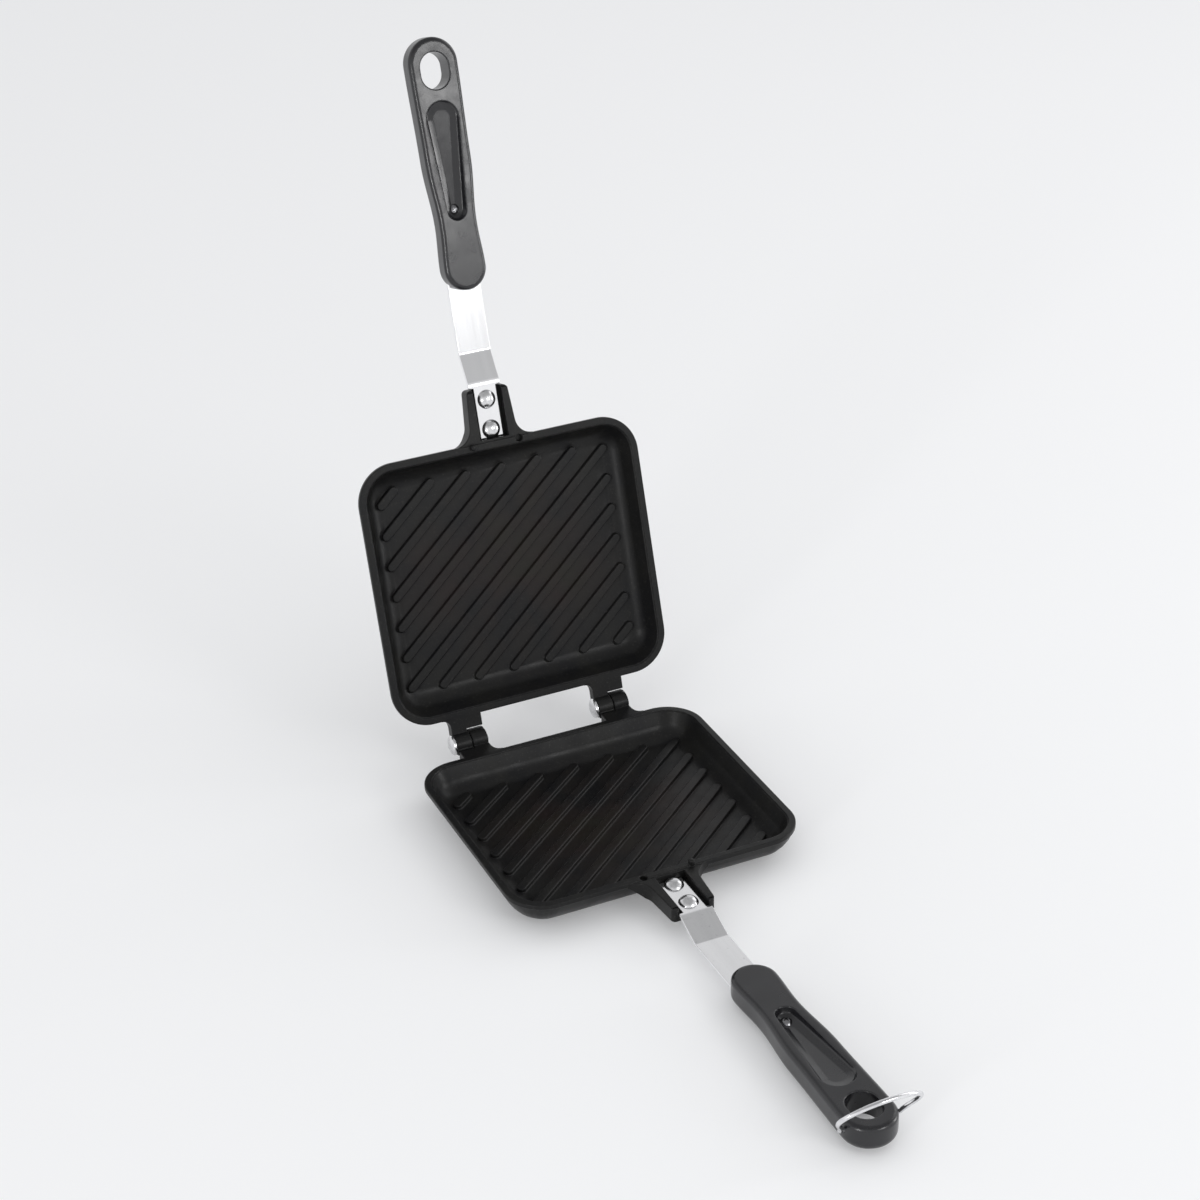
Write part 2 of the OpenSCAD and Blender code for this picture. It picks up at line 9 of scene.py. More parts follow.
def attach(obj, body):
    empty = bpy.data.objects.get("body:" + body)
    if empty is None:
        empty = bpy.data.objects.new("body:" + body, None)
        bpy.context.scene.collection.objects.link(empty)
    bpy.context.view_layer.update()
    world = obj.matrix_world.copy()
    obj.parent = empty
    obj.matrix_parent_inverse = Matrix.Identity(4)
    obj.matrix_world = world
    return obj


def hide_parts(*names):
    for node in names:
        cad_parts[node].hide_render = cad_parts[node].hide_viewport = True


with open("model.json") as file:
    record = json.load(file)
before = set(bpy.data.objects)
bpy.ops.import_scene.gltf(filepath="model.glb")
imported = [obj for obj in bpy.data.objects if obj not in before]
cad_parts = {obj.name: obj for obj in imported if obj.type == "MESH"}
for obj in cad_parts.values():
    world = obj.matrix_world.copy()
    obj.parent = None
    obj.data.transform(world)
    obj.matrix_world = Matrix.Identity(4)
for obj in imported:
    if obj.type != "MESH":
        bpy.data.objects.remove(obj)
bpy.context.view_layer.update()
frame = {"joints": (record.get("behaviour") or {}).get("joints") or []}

# ---- Camera ----
# A long lens from the left of the lower handle, a little above the open iron,
# at the photo's viewing angle. It is placed first, so that the rest is judged in its frame.

camera_place = Vector((-0.4417, -0.9706, 0.7255))
camera_right = Vector((0.9058, -0.4232, -0.0200))
camera_back = Vector((-0.3598, -0.7934, 0.4910))

camera_data = bpy.data.cameras.new("camera")
camera_data.sensor_width = 36
camera_data.lens = 81.99
camera_data.clip_end = 20
camera = bpy.data.objects.new("camera", camera_data)
camera_up = camera_back.cross(camera_right)
camera.matrix_world = Matrix.Translation(camera_place) @ Matrix(
    (camera_right, camera_up, camera_back)).transposed().to_4x4()
bpy.context.scene.collection.objects.link(camera)
bpy.context.scene.camera = camera

bpy.context.scene.view_settings.view_transform = "Standard"

# ---- Floor, backdrop and lights ----
# A plain pale table in a bright room: an even fill all round, a window in front to the
# right, a tall narrow strip of light on each side, and a soft lamp above to the right.

floor_tone = (0.80, 0.803, 0.81)
floor_lift = 0.16
room_tone = (0.985, 0.99, 1.0)
room_fill = 0.77
horizon_level = 0.92
horizon_top = 0.45
ceiling_level = 0.45
ceiling_edge = 0.8


def new_material(name):
    material = bpy.data.materials.new(name)
    material.use_nodes = True
    material.node_tree.nodes.clear()
    return material, material.node_tree.nodes, material.node_tree.links


def math_node(nodes, links, operation, first, second):
    step = nodes.new("ShaderNodeMath")
    step.operation = operation
    for socket, value in zip(step.inputs, (first, second)):
        if isinstance(value, (int, float)):
            socket.default_value = value
        else:
            links.new(value, socket)
    return step.outputs[0]


def between(nodes, links, value, low, high, to_low=0, to_high=1):
    """The value, spread from low..high to to_low..to_high and held there."""
    ramp = nodes.new("ShaderNodeMapRange")
    ramp.inputs["From Min"].default_value = low
    ramp.inputs["From Max"].default_value = high
    ramp.inputs["To Min"].default_value = to_low
    ramp.inputs["To Max"].default_value = to_high
    links.new(value, ramp.inputs["Value"])
    return ramp.outputs["Result"]


def seen_directly(nodes, links):
    """1 in what the camera, a reflection or a clear body shows, and 0 in plain lighting."""
    path = nodes.new("ShaderNodeLightPath").outputs
    either = math_node(nodes, links, "MAXIMUM", path["Is Camera Ray"], path["Is Glossy Ray"])
    return math_node(nodes, links, "MAXIMUM", either, path["Is Transmission Ray"])


table_material, nodes, links = new_material("pale_table")
table_out = nodes.new("ShaderNodeOutputMaterial")
table_diffuse = nodes.new("ShaderNodeBsdfDiffuse")
table_diffuse.inputs["Color"].default_value = (*floor_tone, 1)
table_glow = nodes.new("ShaderNodeEmission")
table_glow.inputs["Color"].default_value = (*room_tone, 1)
glow_level = math_node(nodes, links, "MULTIPLY", seen_directly(nodes, links), floor_lift)
links.new(glow_level, table_glow.inputs["Strength"])
table_sum = nodes.new("ShaderNodeAddShader")
links.new(table_diffuse.outputs[0], table_sum.inputs[0])
links.new(table_glow.outputs[0], table_sum.inputs[1])
links.new(table_sum.outputs[0], table_out.inputs["Surface"])

table_bm = bmesh.new()
bmesh.ops.create_grid(table_bm, x_segments=1, y_segments=1, size=6)
table_mesh = bpy.data.meshes.new("table")
table_bm.to_mesh(table_mesh)
table_bm.free()
table = bpy.data.objects.new("table", table_mesh)
table.data.materials.append(table_material)
bpy.context.scene.collection.objects.link(table)

world = bpy.data.worlds.new("room")
bpy.context.scene.world = world
world.use_nodes = True
nodes, links = world.node_tree.nodes, world.node_tree.links
nodes.clear()
world_out = nodes.new("ShaderNodeOutputWorld")
room = nodes.new("ShaderNodeBackground")
room.inputs["Color"].default_value = (*room_tone, 1)
direction = nodes.new("ShaderNodeTexCoord")
height = nodes.new("ShaderNodeSeparateXYZ")
links.new(direction.outputs["Generated"], height.inputs[0])
shown = between(nodes, links, height.outputs["Z"], horizon_top, ceiling_edge,
                horizon_level, ceiling_level)
seen = seen_directly(nodes, links)
shown_part = math_node(nodes, links, "MULTIPLY", seen, shown)
unseen = math_node(nodes, links, "SUBTRACT", 1, seen)
fill_part = math_node(nodes, links, "MULTIPLY", unseen, room_fill)
links.new(math_node(nodes, links, "ADD", shown_part, fill_part), room.inputs["Strength"])
links.new(room.outputs[0], world_out.inputs["Surface"])


def softbox(name, place, target, size, brightness):
    """A soft rectangular lamp, of so many times the brightness of a white surface."""
    light = bpy.data.lights.new(name, "AREA")
    light.shape = "RECTANGLE"
    light.size, light.size_y = size
    light.energy = brightness * math.pi * size[0] * size[1]
    lamp = bpy.data.objects.new(name, light)
    aim = (Vector(target) - Vector(place)).to_track_quat("-Z", "Y")
    lamp.matrix_world = Matrix.Translation(place) @ aim.to_matrix().to_4x4()
    lamp.visible_camera = False
    bpy.context.scene.collection.objects.link(lamp)


softbox("window", (0.54, -1.30, 0.70), (0, 0.15, 0.28), (0.5, 0.28), 6.5)
softbox("left_strip", (-1.3, -0.9, 0.36), (0.03, 0.1, 0.16), (0.16, 0.4), 22)
softbox("right_strip", (1.20, -0.42, 0.26), (0, 0.12, 0.26), (0.22, 0.4), 9)
softbox("lamp", (1.45, 0.40, 0.95), (0, 0, 0.1), (0.9, 0.9), 0.9)

# ---- Castings ----
# The two halves are equal die-cast aluminium dishes with slanting ribs, two hinge tabs
# at the back and a forked bracket in front, under a black satin non-stick coat.

mm = 0.001
main_hinge = next(joint for joint in frame["joints"] if joint["name"] == "main_hinge")
hinge_y = main_hinge["pos_m"][1] / mm
pan_h = main_hinge["pos_m"][2] / mm
open_angle = math.radians(main_hinge["range_deg"][1])

lower_half = Matrix.Scale(mm, 4) @ Matrix.Translation((0, 0, pan_h))
upper_half = (Matrix.Scale(mm, 4) @ Matrix.Translation((0, hinge_y, pan_h))
              @ Matrix.Rotation(-open_angle, 4, "X") @ Matrix.Translation((0, -hinge_y, 0))
              @ Matrix.Rotation(math.pi, 4, "Y"))

halves = (("lower", lower_half, "root"), ("upper", upper_half, "upper_half"))

pan_w = 145
pan_l = 129
corner_r = 19
rim_top = -0.1
band_h = 1.5
lip_w = 2.7
floor_z = -12.2
rim_y = pan_l / 2


def rounded_plate(bm, length_x, length_y, radius, segments, z=0):
    """A flat face with round corners, centred on the z axis. Returns the face."""
    corners = bmesh.ops.create_grid(bm, x_segments=1, y_segments=1, size=0.5)["verts"]
    bmesh.ops.scale(bm, vec=(length_x, length_y, 1), verts=corners)
    bmesh.ops.translate(bm, vec=(0, 0, z), verts=corners)
    rounded = bmesh.ops.bevel(bm, geom=corners, offset=radius - 0.001, offset_type="OFFSET",
                              affect="VERTICES", segments=segments, profile=0.5, material=-1)
    bmesh.ops.remove_doubles(bm, verts=rounded["verts"], dist=0.01)
    return max(bm.faces, key=lambda face: len(face.verts))


def thicken(bm, face, depth):
    """Pulls a flat face out along z into a closed block. Returns the face at the far end."""
    pulled = bmesh.ops.extrude_face_region(bm, geom=[face], use_keep_orig=True)
    verts = [v for v in pulled["geom"] if isinstance(v, bmesh.types.BMVert)]
    bmesh.ops.translate(bm, vec=(0, 0, depth), verts=verts)
    return next(f for f in pulled["geom"] if isinstance(f, bmesh.types.BMFace))


def step_in(bm, face, steps):
    """Draws a face in and along its normal, one ring for each (inset, rise) in steps."""
    for inset, rise in steps:
        bmesh.ops.inset_region(bm, faces=[face], thickness=inset, depth=rise,
                               use_even_offset=True, use_boundary=True)


def round_steps(radius, count, convex=True):
    """Rings of a quarter circle, as (inset, rise) of each."""
    turns = [math.pi / 2 * i / count for i in range(count + 1)]
    if convex:
        rings = [(radius * (1 - math.cos(a)), radius * math.sin(a)) for a in turns]
    else:
        rings = [(radius * math.sin(a), radius * (1 - math.cos(a))) for a in turns]
    return [(b[0] - a[0], b[1] - a[1]) for a, b in zip(rings, rings[1:])]


def outwards(bm):
    bmesh.ops.remove_doubles(bm, verts=bm.verts, dist=0.0005)
    bmesh.ops.recalc_face_normals(bm, faces=bm.faces)


def in_order(bm):
    """The same mesh, made anew in a fixed order: plane cuts leave theirs in any order."""
    loops = []
    for face in bm.faces:
        ring = [tuple(round(c, 4) + 0.0 for c in v.co) for v in face.verts]
        first = ring.index(min(ring))
        loops.append(ring[first:] + ring[:first])
    result = bmesh.new()
    spots = sorted({spot for ring in loops for spot in ring})
    made = {spot: result.verts.new(spot) for spot in spots}
    for ring in sorted(loops):
        result.faces.new([made[spot] for spot in ring])
    result.normal_update()
    bm.free()
    return result


def soft_edges(bm, edges, offset, segments=2):
    bmesh.ops.bevel(bm, geom=edges, offset=offset, offset_type="OFFSET", affect="EDGES",
                    segments=segments, profile=0.5, material=-1)


def sharp_edges_of(bm, angle=40):
    return [e for e in bm.edges if e.is_valid and len(e.link_faces) == 2
            and e.calc_face_angle(0) > math.radians(angle)]


def as_object(bm, name, place=None, sharp=35):
    """Makes the object, with its place in its mesh, smooth but for its sharp edges."""
    if place is not None:
        bmesh.ops.transform(bm, matrix=place, verts=bm.verts)
    for face in bm.faces:
        face.smooth = True
    for edge in bm.edges:
        edge.smooth = len(edge.link_faces) == 2 and edge.calc_face_angle(0) < math.radians(sharp)
    mesh = bpy.data.meshes.new(name)
    bm.to_mesh(mesh)
    piece = bpy.data.objects.new(name, mesh)
    bpy.context.scene.collection.objects.link(piece)
    if place is not None:
        piece.modifiers.new("flat_faces", "WEIGHTED_NORMAL").keep_sharp = True
    return piece


def joined(bm, shells, operation):
    """The bmesh after it is united with, or cut by, each closed shell in turn."""
    bmesh.ops.triangulate(bm, faces=bm.faces)
    whole = as_object(bm, "whole")
    tools = []
    for shell in shells:
        outwards(shell)
        bmesh.ops.triangulate(shell, faces=shell.faces)
        tools.append(as_object(shell, "tool"))
        step = whole.modifiers.new("join", "BOOLEAN")
        step.operation = operation
        step.solver = "MANIFOLD"
        step.object = tools[-1]
        shell.free()
    bpy.context.view_layer.update()
    result = bmesh.new()
    result.from_mesh(whole.evaluated_get(bpy.context.evaluated_depsgraph_get()).data)
    for used in [whole] + tools:
        bpy.data.objects.remove(used)
    bm.free()
    return result


# The dish: the outer band, then the lip and the hollow above, and the wall and base below.
dish = bmesh.new()
band = rounded_plate(dish, pan_w, pan_l, corner_r, 24, z=-2.1)
if band.normal.z > 0:
    band.normal_flip()
rim = thicken(dish, band, band_h)
outwards(dish)
rim = max(dish.faces, key=lambda f: f.calc_center_median().z if len(f.verts) > 4 else -99)
band = min(dish.faces, key=lambda f: f.calc_center_median().z if len(f.verts) > 4 else 99)

lip_edge = round_steps(0.5, 4)
inner_lip = [(b, -a) for a, b in reversed(round_steps(0.6, 4))]
fillet_r = 10
floor_inset = 15.5
wall_lean = 20
fillet_turns = [math.radians(-wall_lean - (90 - wall_lean) * i / 16) for i in range(17)]
fillet_rings = [(-fillet_r * math.cos(a), floor_z + fillet_r * (1 + math.sin(a)))
                for a in fillet_turns]
hollow_fillet = [(b[0] - a[0], b[1] - a[1]) for a, b in zip(fillet_rings, fillet_rings[1:])]
wall_run = (floor_inset - fillet_r * math.cos(fillet_turns[0]) - 3.8, fillet_rings[0][1] + 0.7)
step_in(dish, rim, lip_edge + [(lip_w, 0)] + inner_lip + [wall_run] + hollow_fillet)

under_band = round_steps(0.5, 4) + [(0.15, 0.05), (0.1, 0.15), (0.05, 0.2)]
wall_bow = [(1.3, 3.3), (1.6, 2.6), (2.2, 2.5), (2.9, 2.25), (3.6, 2.05)]
base_edge = [(1.4, 0.65), (1.5, 0.4), (1.4, 0.2)]
step_in(dish, band, under_band + wall_bow + base_edge)

# Ribs with a soft root and a rounded top, all cut off square to the sides of the floor.
additions = []
rib_pitch = 11.75
rib_angle = math.radians(39)
rib_w = 4.6
rib_h = 2
rib_root = 0.7
rib_round = 0.6
reach_x = pan_w / 2 - 11.8 - rib_w / 2
reach_y = pan_l / 2 - 13 - rib_w / 2
for k in range(-6, 7):
    foot_x = -k * rib_pitch * math.sin(rib_angle)
    foot_y = k * rib_pitch * math.cos(rib_angle)
    low = max((-reach_x - foot_x) / math.cos(rib_angle), (-reach_y - foot_y) / math.sin(rib_angle))
    high = min((reach_x - foot_x) / math.cos(rib_angle), (reach_y - foot_y) / math.sin(rib_angle))
    if high <= low:
        continue
    rib = bmesh.new()
    foot_w = rib_w + 2 * rib_root
    foot = rounded_plate(rib, high - low + foot_w, foot_w, foot_w / 2, 8, z=floor_z - 0.5)
    crest = thicken(rib, foot, 0.5)
    outwards(rib)
    crest = max(rib.faces, key=lambda f: f.calc_center_median().z)
    step_in(rib, crest, round_steps(rib_root, 4, convex=False))
    step_in(rib, crest, [(0.05, rib_h - rib_root - rib_round)] + round_steps(rib_round, 4))
    centre = Matrix.Translation(((low + high) / 2, k * rib_pitch, 0))
    bmesh.ops.transform(rib, matrix=Matrix.Rotation(rib_angle, 4, "Z") @ centre, verts=rib.verts)
    additions.append(rib)


def block(low, high, edge=0, turn=None):
    """A block between two corners, with its edges rounded."""
    bm = bmesh.new()
    made = bmesh.ops.create_cube(bm, size=1)["verts"]
    bmesh.ops.scale(bm, vec=[b - a for a, b in zip(low, high)], verts=made)
    bmesh.ops.translate(bm, vec=[(a + b) / 2 for a, b in zip(low, high)], verts=made)
    if edge:
        soft_edges(bm, bm.edges[:], edge, 3)
    if turn is not None:
        bmesh.ops.transform(bm, matrix=turn, verts=bm.verts)
    return bm


def lathe(profile, place, steps=40):
    """A closed turned shape. The profile is (radius, height) from axis to axis."""
    bm = bmesh.new()
    verts = [bm.verts.new((r, 0, z)) for r, z in profile]
    edges = [bm.edges.new(pair) for pair in zip(verts, verts[1:])]
    bmesh.ops.spin(bm, geom=verts + edges, cent=(0, 0, 0), axis=(0, 0, 1), angle=2 * math.pi,
                   steps=steps, use_merge=True)
    bmesh.ops.remove_doubles(bm, verts=bm.verts, dist=0.0005)
    bmesh.ops.recalc_face_normals(bm, faces=bm.faces)
    bmesh.ops.transform(bm, matrix=place, verts=bm.verts)
    return bm


along_x = Matrix.Rotation(math.pi / 2, 4, "Y")

# Hinge tabs: a flat tab that blends into the rim, the knuckle on its +x half, and the
# heel that meets its opposite number when the iron is opened.
hinge_spacing = 75.4
tab_w = 16.2
tab_t = 5
knuckle_r = 5
tab_reach = hinge_y - 6.3
heel_turn = Matrix.Translation((0, hinge_y, 0)) @ Matrix.Rotation(math.pi / 2 - open_angle, 4, "X")
bore_profile = [(0, -1), (2.05, -1), (2.05, tab_w), (0, tab_w)]
for hinge_x in (-hinge_spacing / 2, hinge_spacing / 2):
    side = hinge_x + tab_w / 2
    knuckle_low = hinge_x + 0.25
    additions.append(block((side - tab_w, rim_y - 3, -tab_t), (side, tab_reach, rim_top - 0.01), 0.5))

    web = bmesh.new()
    web_outline = [(side + 4, rim_y - 1), (side + 4, rim_y), (side, rim_y),
                   (side, rim_y + 4), (side - 2, rim_y + 4), (side - 2, rim_y - 1)]
    root = [web.verts.new((x, y, -tab_t + 0.1)) for x, y in web_outline]
    web.faces.new(root)
    bmesh.ops.bevel(web, geom=[root[2]], offset=3.99, offset_type="OFFSET", affect="VERTICES",
                    segments=8, profile=0.5, material=-1)
    thicken(web, web.faces[:][0], tab_t - 0.22)
    additions.append(web)

    neck = block((knuckle_low, tab_reach - 3, -tab_t), (side, hinge_y, rim_top - 0.01), 0.4)
    barrel = [(0, 0), (knuckle_r - 0.5, 0), (knuckle_r - 0.15, 0.15), (knuckle_r, 0.5),
              (knuckle_r, side - knuckle_low - 0.5), (knuckle_r - 0.15, side - knuckle_low - 0.15),
              (knuckle_r - 0.5, side - knuckle_low), (0, side - knuckle_low)]
    knuckle = lathe(barrel, Matrix.Translation((knuckle_low, hinge_y, 0)) @ along_x, 48)
    heel = block((knuckle_low, 0, 0), (side, 3.3, 5.35), 0.35, heel_turn)
    for part in (neck, knuckle, heel):
        bore = lathe(bore_profile, Matrix.Translation((hinge_x, hinge_y, 0)) @ along_x, 32)
        additions.append(joined(part, [bore], "DIFFERENCE"))

# Bracket: two cheeks that spread into the rim, over a web that carries the strap.
bracket_l = 25.5
bracket_low = -8.5
bracket_high = -0.7
bracket = bmesh.new()
half_outline = [(20.4, -2.6), (20.4, 0), (12.4, 0), (10.5, bracket_l)]
outline = half_outline + [(-x, d) for x, d in reversed(half_outline)]
corners = [bracket.verts.new((x, -rim_y - d, bracket_low)) for x, d in outline]
bracket.faces.new(corners)
bmesh.ops.bevel(bracket, geom=[corners[2], corners[5]], offset=7.9, offset_type="OFFSET",
                affect="VERTICES", segments=12, profile=0.5, material=-1)
ends = [v for v in bracket.verts if abs(v.co.y + rim_y + bracket_l) < 0.01]
bmesh.ops.bevel(bracket, geom=ends, offset=2, offset_type="OFFSET", affect="VERTICES",
                segments=6, profile=0.5, material=-1)
thicken(bracket, bracket.faces[:][0], -bracket_low + bracket_high)
outwards(bracket)
cuts = [((0, -rim_y - 1, bracket_high), (0, -0.4 / 23.3, 1)),
        ((0, -rim_y - bracket_l + 0.8, -1.4), (0, -1, 1)),
        ((13.2, 0, bracket_low), (0.6, 0, -0.8)),
        ((-13.2, 0, bracket_low), (-0.6, 0, -0.8))]
for on_plane, off_side in cuts:
    bmesh.ops.bisect_plane(bracket, geom=bracket.verts[:] + bracket.edges[:] + bracket.faces[:],
                           plane_co=on_plane, plane_no=off_side, clear_outer=True)
    rims = [e for e in bracket.edges if e.is_boundary]
    bmesh.ops.edgeloop_fill(bracket, edges=rims)
outwards(bracket)
bracket = in_order(bracket)
soft_edges(bracket, sharp_edges_of(bracket, 30), 0.45, 3)

# The strap's channel between the cheeks, and the dimple in the rim beside them, which
# takes the other half's boss.
channel = block((-7.4, -rim_y - bracket_l - 2, -5.5), (7.4, -rim_y - 1, 3))
boss_x = 12
boss_y = -rim_y + 1.1
dimple_profile = [(0, -2.8), (1.5, -2.8), (1.8, -2.5), (1.8, -0.5), (2.1, -0.1), (2.1, 1), (0, 1)]
dimples = [lathe(dimple_profile, Matrix.Translation((-boss_x, boss_y, 0)), 32) for i in range(2)]
additions.append(joined(bracket, [channel, dimples[0]], "DIFFERENCE"))
dish = joined(dish, [dimples[1]], "DIFFERENCE")

# Locating boss on the rim, which meets the dimple of the other half.
boss = [(0, -1), (1.5, -1), (1.5, 1.6), (1.4, 1.85), (1.2, 2.08), (0.9, 2.2), (0, 2.2)]
additions.append(lathe(boss, Matrix.Translation((boss_x, boss_y, 0)), 32))

casting = joined(dish, additions, "UNION")


def noise(nodes, links, coords, scale, detail=2, spread=0.5):
    """A cloudy pattern, with about scale patches to the metre."""
    texture = nodes.new("ShaderNodeTexNoise")
    texture.inputs["Scale"].default_value = scale
    texture.inputs["Detail"].default_value = detail
    texture.inputs["Roughness"].default_value = spread
    links.new(coords, texture.inputs["Vector"])
    return texture.outputs["Fac"]


def blend(nodes, links, mask, colour, over):
    """Lays the colour over another where the mask is 1."""
    mix = nodes.new("ShaderNodeMix")
    mix.data_type = "RGBA"
    links.new(mask, mix.inputs["Factor"])
    for socket, paint in ((mix.inputs["A"], over), (mix.inputs["B"], colour)):
        if isinstance(paint, tuple):
            socket.default_value = (*paint, 1)
        else:
            links.new(paint, socket)
    return mix.outputs["Result"]


def relief(nodes, links, height, depth, strength, under=None):
    """Raises the surface by a pattern that is depth metres high."""
    bump = nodes.new("ShaderNodeBump")
    bump.inputs["Strength"].default_value = strength
    bump.inputs["Distance"].default_value = depth
    links.new(height, bump.inputs["Height"])
    if under is not None:
        links.new(under, bump.inputs["Normal"])
    return bump.outputs["Normal"]


def surface(name):
    """A material with one surface shader, already linked to its output."""
    material, nodes, links = new_material(name)
    out = nodes.new("ShaderNodeOutputMaterial")
    skin = nodes.new("ShaderNodeBsdfPrincipled")
    links.new(skin.outputs[0], out.inputs["Surface"])
    return material, nodes, links, skin


def rounded_edges(nodes, radius):
    """The surface's direction with its edges rounded off, in metres."""
    rounded = nodes.new("ShaderNodeBevel")
    rounded.samples = 4
    rounded.inputs["Radius"].default_value = radius
    return rounded.outputs[0]


def own_frame(nodes, links, place):
    """Coordinates in a half's own frame, in metres: z is 0 where the rims meet."""
    coords = nodes.new("ShaderNodeTexCoord")
    back = place.to_3x3().normalized().inverted()
    turn = nodes.new("ShaderNodeMapping")
    turn.inputs["Rotation"].default_value = back.to_euler()
    turn.inputs["Location"].default_value = -(back @ place.translation)
    links.new(coords.outputs["Object"], turn.inputs["Vector"])
    return turn.outputs["Vector"]


def coat(name, place):
    """Satin black non-stick coat: fine grain, faint clouds, a browned middle and a painted highlight along
    the edges, in patches like wear.
    """
    material, nodes, links, skin = surface(name)
    skin.inputs["Specular IOR Level"].default_value = 0.2
    where = own_frame(nodes, links, place)

    clouds = between(nodes, links, noise(nodes, links, where, 55, 4, 0.6), 0.35, 0.7)
    colour = blend(nodes, links, clouds, (0.0120, 0.0118, 0.0108), (0.0072, 0.0073, 0.0080))
    grey = between(nodes, links, noise(nodes, links, where, 900, 3, 0.7), 0.58, 0.74)
    colour = blend(nodes, links, grey, (0.031, 0.030, 0.028), colour)

    middle = nodes.new("ShaderNodeVectorMath")
    middle.operation = "MULTIPLY"
    middle.inputs[1].default_value = (1 / 0.058, 1 / 0.050, 0)
    links.new(where, middle.inputs[0])
    reach = nodes.new("ShaderNodeVectorMath")
    reach.operation = "LENGTH"
    links.new(middle.outputs[0], reach.inputs[0])
    browned = between(nodes, links, reach.outputs["Value"], 0.5, 1.15, 0.85, 0)
    patches = between(nodes, links, noise(nodes, links, where, 28, 3, 0.6), 0.35, 0.62)
    brown = math_node(nodes, links, "MULTIPLY", browned, patches)
    colour = blend(nodes, links, brown, (0.0165, 0.0108, 0.0100), colour)
    olive = between(nodes, links, noise(nodes, links, where, 19, 3, 0.6), 0.52, 0.66)
    olive = math_node(nodes, links, "MULTIPLY", browned, olive)
    colour = blend(nodes, links, olive, (0.0132, 0.0124, 0.0092), colour)

    # Painted highlight: every edge, rounded or creased, turns lighter grey, broken into worn-looking
    # patches.
    rounded = rounded_edges(nodes, 0.0004)
    face = nodes.new("ShaderNodeNewGeometry")
    facing = nodes.new("ShaderNodeVectorMath")
    facing.operation = "DOT_PRODUCT"
    links.new(rounded, facing.inputs[0])
    links.new(face.outputs["True Normal"], facing.inputs[1])
    edge = between(nodes, links, facing.outputs["Value"], 0.97, 0.80)
    sheen_and_wear_patches = between(nodes, links, noise(nodes, links, where, 420, 3, 0.6), 0.45, 0.62)
    edge_sheen_and_wear = math_node(nodes, links, "MULTIPLY", edge, sheen_and_wear_patches)
    colour = blend(nodes, links, edge_sheen_and_wear, (0.055, 0.055, 0.056), colour)
    links.new(colour, skin.inputs["Base Color"])

    satin = between(nodes, links, noise(nodes, links, where, 90, 4, 0.6), 0.3, 0.7, 0.28, 0.42)
    links.new(satin, skin.inputs["Roughness"])
    waves = noise(nodes, links, where, 260, 2, 0.5)
    grain = noise(nodes, links, where, 2400, 2, 0.6)
    normal = relief(nodes, links, waves, 0.0002, 0.25, rounded)
    normal = relief(nodes, links, grain, 0.00005, 0.5, normal)
    links.new(normal, skin.inputs["Normal"])
    return material


casting_mesh = bpy.data.meshes.new("casting")
casting.to_mesh(casting_mesh)
for half, place, body in halves:
    copy = bmesh.new()
    copy.from_mesh(casting_mesh)
    pan = as_object(copy, half + "_casting", place)
    copy.free()
    pan.data.materials.append(coat(half + "_coat", place))
    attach(pan, body)
    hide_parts(half + "_pan")
casting.free()

# ---- Hinge pins ----
# A bright steel pin through each hinge, with a domed head on the left and its other end
# peened over against the knuckle on the right.


def bright_steel(name, dull, bright):
    """Turned and tumbled steel: bright, a little cloudy, with fine scratches."""
    material, nodes, links, skin = surface(name)
    skin.inputs["Metallic"].default_value = 1
    coords = nodes.new("ShaderNodeTexCoord").outputs["Object"]
    clouds = between(nodes, links, noise(nodes, links, coords, 420, 3, 0.6), 0.35, 0.7)
    colour = blend(nodes, links, clouds, dull, bright)
    links.new(colour, skin.inputs["Base Color"])
    polish = between(nodes, links, noise(nodes, links, coords, 700, 3, 0.6), 0.3, 0.7, 0.14, 0.30)
    links.new(polish, skin.inputs["Roughness"])
    scratch = nodes.new("ShaderNodeMapping")
    scratch.inputs["Scale"].default_value = (1, 5, 3)
    scratch.inputs["Rotation"].default_value = (0.4, 0.2, 0.7)
    links.new(coords, scratch.inputs["Vector"])
    fine = noise(nodes, links, scratch.outputs[0], 1600, 2, 0.6)
    normal = relief(nodes, links, fine, 0.00003, 0.25, rounded_edges(nodes, 0.00015))
    links.new(normal, skin.inputs["Normal"])
    return material


bright_finish = bright_steel("bright_steel_finish", (0.62, 0.62, 0.63), (0.80, 0.80, 0.81))

pin_r = 2
pin_head_r = 4.9
clamped = tab_w + 0.15
dome_turns = [math.pi / 2 * i / 10 for i in range(10)]
dome = [(pin_head_r * math.cos(a), clamped + (0.5 + 1.9 * math.sin(a))) for a in dome_turns]
peened_end = [(0, -1.2), (1.4, -1.2), (2.2, -1.05), (2.8, -0.65), (3.1, 0)]
shank = [(pin_r, 0), (pin_r, clamped)]
head_seat = [(pin_head_r - 0.15, clamped), (pin_head_r, clamped + 0.15)]
pin_profile = peened_end + shank + head_seat + dome + [(0, clamped + 2.4)]
for name, hinge_x in (("left", -hinge_spacing / 2), ("right", hinge_spacing / 2)):
    to_left = Matrix.Translation((hinge_x + tab_w / 2, hinge_y, 0)) @ Matrix.Rotation(-math.pi / 2, 4, "Y")
    pin = as_object(lathe(pin_profile, lower_half @ to_left, 48), name + "_pin")
    pin.data.materials.append(bright_finish)
    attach(pin, "root")
    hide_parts(name + "_hinge_pin")

# ---- Straps ----
# A flat bar of bright steel, riveted between the cheeks, bent down and back again, and
# stepped to a narrow tang inside the handle.



